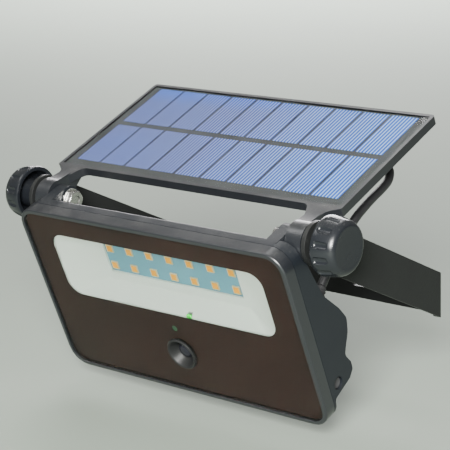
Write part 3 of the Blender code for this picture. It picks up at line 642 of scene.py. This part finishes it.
def make_lead_length(name, node, points):
    """One length of the lead: a tube on its route at rest, across one tilting joint."""
    route = smooth_points(points)
    curve = bpy.data.curves.new(name, "CURVE")
    curve.dimensions = "3D"
    curve.bevel_depth = LEAD_DIAMETER / 2
    curve.bevel_resolution = 7
    curve.use_fill_caps = True
    spline = curve.splines.new("POLY")
    spline.points.add(len(route) - 1)
    for point, place in zip(spline.points, route):
        point.co = (*place, 1.0)
    piece = bpy.data.objects.new(name, curve)
    bpy.context.scene.collection.objects.link(piece)
    only(piece)
    bpy.ops.object.convert(target="MESH")
    smooth(piece, 50.0)
    piece.data.materials.append(LEAD_JACKET)
    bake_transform(piece)
    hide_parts(node)


def make_lead():
    """The lead from the lamp's back up to the panel's junction cover."""
    make_lead_length("lead_to_lamp", "lead_lower", LEAD_LOWER)
    make_lead_length("lead_to_panel", "lead_upper", LEAD_UPPER)


# ---------------------------------------------------------------- CAD shapes with soft edges

def refine(node, body, look, width, segments=2):
    """A CAD shape with its edges rounded, in place of the node."""
    piece = merged_copy(node, node + "_shape")
    soften(piece, width, segments)
    finished(piece, body, look, node)


def dress_nodes():
    """Materials for the CAD nodes that stay as they are."""
    plain = {
        "housing_seal": RUBBER, "glass_seal": RUBBER, "led_board": BOARD_BLUE,
        "motion_sensor": ZINC, "indicator_pipe": BOARD_GREEN, "status_led": GREEN_GLOW,
        "control_board": BOARD_GREEN, "battery_cell_left": CELL_SLEEVE,
        "battery_cell_right": CELL_SLEEVE, "battery_cradle": WHITE_TRAY, "power_switch": RUBBER,
        "cell_board": BACKING, "knob_nut_left": ZINC, "knob_nut_right": ZINC,
        "charge_led": GREEN_GLOW}
    for node, look in plain.items():
        slots = NODES[node].data.materials
        slots.clear()
        slots.append(look)


def make_shells():
    """The mouldings, the bracket and the washers, with rounded edges."""
    refine("wall_bracket", "bracket", POWDER_COAT, 0.00025, 2)
    refine("rear_housing", "lamp_head", HOUSING_BLACK, 0.0006, 3)
    refine("panel_frame", "solar_panel", PANEL_BLACK, 0.0005, 3)
    refine("junction_cover", "solar_panel", HOUSING_BLACK, 0.0008, 3)
    refine("panel_sheet", "solar_panel", SHEET, 0.0001, 1)
    refine("reflector", "lamp_head", WHITE_TRAY, 0.0006, 3)
    for label in SIDES:
        refine("bolt_washer_" + label, "bracket", ZINC, 0.0002, 2)
        refine("friction_washer_" + label, "bracket", RUBBER, 0.0002, 2)


def make_front_frame():
    """Bezel with a full round on its front edge."""
    piece = merged_copy("front_frame", "front_frame_shape", HEAD_PLACE)
    edit(piece, "EDGE")
    half_width, half_height, middle, corner = 0.098, 0.0564, -0.0486, 0.012
    rim, near = 0.0005, 0.0002

    def outermost(vert):
        """On the outline of the bezel's front: a straight side or a round corner."""
        x, z = abs(vert.co.x), abs(vert.co.z - middle)
        from_corner = (x - half_width + corner) ** 2 + (z - half_height + corner) ** 2
        in_corner = x > half_width - corner and z > half_height - corner
        return abs(vert.co.y - HEAD_FRONT) < near and (
            x > half_width - rim or z > half_height - rim
            or in_corner and from_corner > (corner - rim) ** 2)

    choose(piece, "edges", lambda edge: all(outermost(vert) for vert in edge.verts))
    bpy.ops.mesh.bevel(offset=0.0011, segments=4, affect="EDGES")
    close()
    soften(piece, 0.0003, 2, angle=40.0)
    finished(settle(piece, HEAD_PLACE), "lamp_head", FRAME_BLACK, "front_frame")


# ---------------------------------------------------------------- lamp head

def make_glass():
    """Front glass a little inside its pocket, and the dark print on its back."""
    half_width, low, high = 0.0948, -0.1021, 0.0049
    glass = rounded_slab("front_glass_plate", (-half_width, half_width), (-0.0254, -0.0236),
                         (low, high), 0.0088, 12)
    boolean(glass, rod("sensor_hole", 0.0104, (-0.03, -0.02), (0.0, SENSOR_Z), "Y", 64))
    soften(glass, 0.0003, 2)
    finished(settle(glass, HEAD_PLACE), "lamp_head", GLASS, "front_glass")
    inset = 0.0001
    film = rounded_slab("window_print", (inset - half_width, half_width - inset),
                        (-0.02352, -0.02342), (low + inset, high - inset), 0.0087, 12)
    boolean(film, rounded_slab("window_hole", (-0.078, 0.078), (-0.03, -0.02),
                               (-0.0497, -0.0080), 0.009, 10))
    boolean(film, rod("sensor_hole", 0.0104, (-0.03, -0.02), (0.0, SENSOR_Z), "Y", 64))
    boolean(film, rod("indicator_hole", 0.0019, (-0.03, -0.02), (0.0, INDICATOR_Z), "Y", 24))
    smooth(film)
    finished(settle(film, HEAD_PLACE), "lamp_head", FILM_PRINT, "window_film")


def make_leds():
    """Fourteen LED packages: a pale body and the orange phosphor set in it."""
    nodes = [f"led_{number:02d}" for number in range(1, 15)]
    rows, pitch, half, well = (-0.0208, -0.0323), 0.0152, 0.0025, 0.0020
    bodies, wells = [], []
    for z in rows:
        for column in range(-3, 4):
            x = column * pitch
            body = box("body", (x - half, x + half), (-0.0121, -0.0112), (z - half, z + half))
            well_spans = (x - well, x + well), (z - well, z + well)
            boolean(body, box("well", well_spans[0], (-0.0123, -0.0117), well_spans[1]))
            bodies.append(body)
            wells.append(box("phosphor", well_spans[0], (-0.01205, -0.0117), well_spans[1]))
    packages = join("led_packages", bodies)
    soften(packages, 0.00015, 2)
    finished(settle(packages, HEAD_PLACE), "lamp_head", LED_BODY, *nodes)
    phosphor = join("led_phosphor", wells)
    soften(phosphor, 0.00025, 2)
    finished(settle(phosphor, HEAD_PLACE), "lamp_head", PHOSPHOR, slot="phosphor")


def make_sensor():
    """Motion sensor: a funnel-shaped bezel standing in the glass and its dark lens."""
    place = HEAD_PLACE @ Matrix.Translation((0.0, HEAD_FRONT, SENSOR_Z)) \
        @ Matrix.Rotation(math.pi / 2, 4, "X")
    bezel = turned("sensor_funnel", (
        (0.0058, -0.0060), (0.0056, -0.0052), (0.0060, -0.0046), (0.0079, -0.0012),
        (0.0085, -0.0002), (0.0089, 0.0002), (0.0094, 0.0004), (0.0099, 0.0002), (0.0101, -0.0002),
        (0.0101, -0.0031), (0.0120, -0.0031), (0.0120, -0.0041), (0.0080, -0.0041),
        (0.0066, -0.0060)), 72)
    edit(bezel)
    choose(bezel, "faces", lambda face: len(face.verts) > 4)
    bpy.ops.mesh.delete(type="FACE")
    bpy.ops.mesh.select_all(action="DESELECT")
    choose(bezel, "verts", lambda vert: vert.is_boundary)
    bpy.ops.mesh.select_mode(type="EDGE")
    choose(bezel, "edges", lambda edge: edge.is_boundary)
    bpy.ops.mesh.bridge_edge_loops()
    bpy.ops.mesh.select_all(action="SELECT")
    bpy.ops.mesh.normals_make_consistent(inside=False)
    close()
    smooth(bezel)
    finished(settle(bezel, place), "lamp_head", POWDER_COAT, "sensor_bezel")
    lens = turned("sensor_dome", (
        (0.0053, -0.0068), (0.0053, -0.0062), (0.0051, -0.0050), (0.0045, -0.0038),
        (0.0035, -0.0029), (0.0022, -0.0024), (0.0008, -0.0022), (0.0002, -0.00218)), 48)
    smooth(lens, 60.0)
    finished(settle(lens, place), "lamp_head", LENS_DARK, "sensor_lens")


def make_button():
    """Soft power button with a dished cap, deep in its hole in the side wall."""
    place = HEAD_PLACE @ Matrix.Translation((0.0, -0.0103, -0.0848)) \
        @ Matrix.Rotation(math.pi / 2, 4, "Y")
    cap = turned("button_cap", (
        (0.0042, 0.0932), (0.0042, 0.0945), (0.0033, 0.0945), (0.0033, 0.0964), (0.0031, 0.0968),
        (0.0027, 0.0970), (0.0021, 0.0968), (0.0012, 0.0965), (0.0003, 0.0964)), 40)
    smooth(cap)
    finished(settle(cap, place), "switch_button", RUBBER, "power_button")


# ---------------------------------------------------------------- clamps

def outwards(side):
    """Place on the axis: local Z runs out along X on that side."""
    return Matrix.Translation(PIVOT) @ Matrix.Rotation(side * math.pi / 2, 4, "Y")


def make_knob_shape():
    """Hollow knob with twelve deep finger grooves in its tapered side."""
    knob = turned("knob", (
        (0.0032, 0.1150), (0.0032, 0.1025), (0.0082, 0.1025), (0.0085, 0.1028), (0.0085, 0.1182),
        (0.0128, 0.1182), (0.0135, 0.1086), (0.0137, 0.1081), (0.0142, 0.1080), (0.0153, 0.1080),
        (0.0158, 0.1082), (0.0161, 0.1087), (0.0162, 0.1094), (0.01620, 0.1110), (0.0160, 0.1128),
        (0.0157, 0.1145), (0.0154, 0.1160), (0.0151, 0.1172), (0.0148, 0.1184), (0.0144, 0.1195),
        (0.0139, 0.1203), (0.0133, 0.1210), (0.0127, 0.1214), (0.0121, 0.12165), (0.0114, 0.1217),
        (0.0107, 0.12165), (0.0098, 0.12150), (0.0040, 0.1214), (0.0005, 0.1214)), 96)
    finger = turned("finger", (
        (0.0006, -0.0045), (0.0014, -0.0042), (0.0020, -0.0036), (0.0023, -0.0027),
        (0.0023, 0.0027), (0.0020, 0.0036), (0.0014, 0.0042), (0.0006, 0.0045)), 24)
    finger.data.transform(Matrix.Translation((0.0163, 0.0, 0.1143))
                          @ Matrix.Rotation(math.radians(-6.5), 4, "Y")
                          @ Matrix.Diagonal((0.80, 1.0, 1.0, 1.0)))
    boolean(knob, ring_of(finger, 12, "fingers", 0.5))
    soften(knob, 0.0004, 3, angle=32.0)
    return knob


def make_hex_bolt_shape():
    """Hex head with a chamfered top on its shank; the head sits at the inner end."""
    corner, seat, top = 0.00577, 0.0783, 0.0746
    head = rod("head", corner, (top, seat), (0.0, 0.0), "Z", 6)
    chamfer = turned("chamfer", ((0.0066, seat + 0.001), (0.0066, top + 0.0012),
                                 (0.0047, top - 0.00001), (0.0002, top - 0.00002)), 64)
    boolean(head, chamfer, "INTERSECT")
    dish = turned("dish", ((0.0022, top + 0.0005), (0.0030, top - 0.0002)), 40)
    boolean(head, dish)
    boolean(head, rod("shank", 0.00295, (seat - 0.0005, 0.114), (0.0, 0.0), "Z", 40), "UNION")
    soften(head, 0.00012, 2, angle=25.0)
    return head


def make_clamps():
    """Both knobs and both bolts, each from one shape."""
    knob, bolt = make_knob_shape(), make_hex_bolt_shape()
    for label, side in SIDES.items():
        finished(copy_of(knob, "grip_knob_" + label, outwards(side)), label + "_knob", KNOB_BLACK,
                 "knob_" + label)
        finished(copy_of(bolt, "hex_bolt_" + label, outwards(side)), "bracket", ZINC,
                 "pivot_bolt_" + label)
    discard(knob)
    discard(bolt)


# ---------------------------------------------------------------- screws and glands

def make_screws():
    """Pan-head screws with a cross recess, at the lamp's back and on the junction cover."""
    screw = turned("screw", (
        (0.0013, -0.0045), (0.0013, 0.0), (0.0025, 0.0), (0.0027, 0.0003), (0.0026, 0.0009),
        (0.0022, 0.0014), (0.0014, 0.0017), (0.0003, 0.0018)), 40)
    cross = box("cross", (-0.0016, 0.0016), (-0.00032, 0.00032), (0.0008, 0.003))
    boolean(cross, box("bar", (-0.00032, 0.00032), (-0.0016, 0.0016), (0.0008, 0.003)), "UNION")
    boolean(screw, cross)
    soften(screw, 0.00008, 1, angle=30.0)
    backwards = Matrix.Rotation(-math.pi / 2, 4, "X")
    top, bottom = (-0.0008, 0.0168), (-0.0964, 0.0100)
    places = [(x, HEAD_FRONT + seat, z) for x in (-0.060, 0.060) for z, seat in (top, bottom)]
    for index, place in enumerate(places, 1):
        spot = HEAD_PLACE @ Matrix.Translation(place) @ backwards @ Matrix.Rotation(index, 4, "Z")
        finished(copy_of(screw, f"back_screw_{index}", spot), "lamp_head", ZINC,
                 f"housing_screw_{index}")
    downwards = Matrix.Rotation(math.pi, 4, "X") @ Matrix.Scale(0.88, 4)
    for label, x in (("left", 0.015), ("right", 0.049)):
        spot = PANEL_PLACE @ Matrix.Translation((x, 0.088, -0.0052)) @ downwards
        finished(copy_of(screw, "lid_screw_" + label, spot), "solar_panel", ZINC,
                 "cover_screw_" + label)
    discard(screw)


def make_glands():
    """Tapered strain reliefs with three ribs, one on the lamp and one on the panel."""
    gland = turned("gland", (
        (0.0042, 0.0), (0.0042, 0.0012), (0.0037, 0.0015), (0.0037, 0.0023), (0.0040, 0.0026),
        (0.0039, 0.0034), (0.0035, 0.0037), (0.0034, 0.0045), (0.0037, 0.0048), (0.0036, 0.0056),
        (0.0032, 0.0059), (0.0031, 0.0075), (0.0029, 0.0079), (0.0002, 0.0079)), 40)
    smooth(gland, 30.0)
    direction = Vector((0.0, 0.846, 0.533))
    spot = HEAD_PLACE @ Matrix.Translation((0.0860, 0.0032, -0.0412)) \
        @ direction.to_track_quat("Z", "X").to_matrix().to_4x4()
    finished(copy_of(gland, "lamp_strain_relief", spot), "lamp_head", RUBBER, "head_gland")
    spot = PANEL_PLACE @ Matrix.Translation((0.0523, 0.088, -0.0010)) \
        @ Matrix.Rotation(math.pi / 2, 4, "Y") @ Matrix.Diagonal((0.93, 0.93, 0.94, 1.0))
    finished(copy_of(gland, "panel_strain_relief", spot), "solar_panel", RUBBER, "panel_gland")
    discard(gland)


# ---------------------------------------------------------------- solar panel

def make_cells():
    """Twenty cells in two rows, each a thin tile with its own UV square."""
    columns, pitch, gap = 10, 0.0195, 0.0017
    low, high = 0.00755, 0.00770
    tiles = []
    for start, end in ((PANEL_FRONT + 0.0087, PANEL_FRONT + 0.0479),
                       (PANEL_FRONT + 0.0524, PANEL_FRONT + 0.0909)):
        for column in range(columns):
            left = (column - columns / 2) * pitch + gap / 2
            tile = box("cell", (left, left + pitch - gap), (start, end), (low, high))
            uv = tile.data.uv_layers.active or tile.data.uv_layers.new(name="UVMap")
            for loop in tile.data.loops:
                corner = tile.data.vertices[loop.vertex_index].co
                uv.data[loop.index].uv = ((corner.x - left) / (pitch - gap),
                                          (corner.y - start) / (end - start))
            tiles.append(tile)
    cells = settle(join("solar_cells", tiles), PANEL_PLACE)
    finished(cells, "solar_panel", CELLS, slot="silicon")


make_camera()
make_lead()
make_studio()
dress_nodes()
make_shells()
make_front_frame()
make_glass()
make_leds()
make_sensor()
make_button()
make_clamps()
make_screws()
make_glands()
make_cells()
